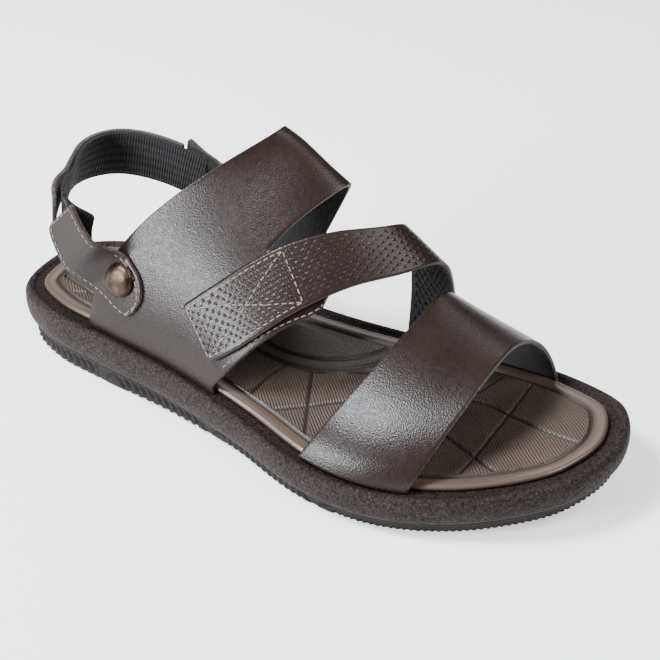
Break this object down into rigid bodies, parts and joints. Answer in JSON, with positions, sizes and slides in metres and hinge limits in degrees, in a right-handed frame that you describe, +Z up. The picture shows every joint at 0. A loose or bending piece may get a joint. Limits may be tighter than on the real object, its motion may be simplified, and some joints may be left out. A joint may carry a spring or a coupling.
{
  "type": "flat sandal",
  "caption": "Flat right-foot sandal: leather front strap, instep band with a closure strap, riveted heel strap, grooved footbed, foam midsole and a lugged rubber outsole.",
  "frame": {"origin": "on the ground, under the middle of the sole's box", "axes": "+Y runs from heel to toe, +X to the outer side of the right foot, +Z up"},
  "size_m": [0.116, 0.2896, 0.1179],
  "materials": {
    "outsole_rubber": "matt moulded rubber",
    "midsole_foam": "pebble-grained foam",
    "footbed_cover": "satin, ribbed and grooved",
    "strap_leather": "smooth semi-gloss",
    "webbing_cloth": "twill weave",
    "rivet_bronze": "antiqued bronze"
  },
  "bodies": {
    "root": {"outsole": "outsole_rubber", "midsole": "midsole_foam", "footbed": "footbed_cover", "front_strap": "strap_leather", "instep_straps": "strap_leather", "heel_leather": "strap_leather", "heel_tab_outer": "strap_leather", "heel_tab_inner": "strap_leather", "heel_webbing": "webbing_cloth", "rivet_outer": "rivet_bronze", "rivet_inner": "rivet_bronze"}
  },
  "joints": []
}
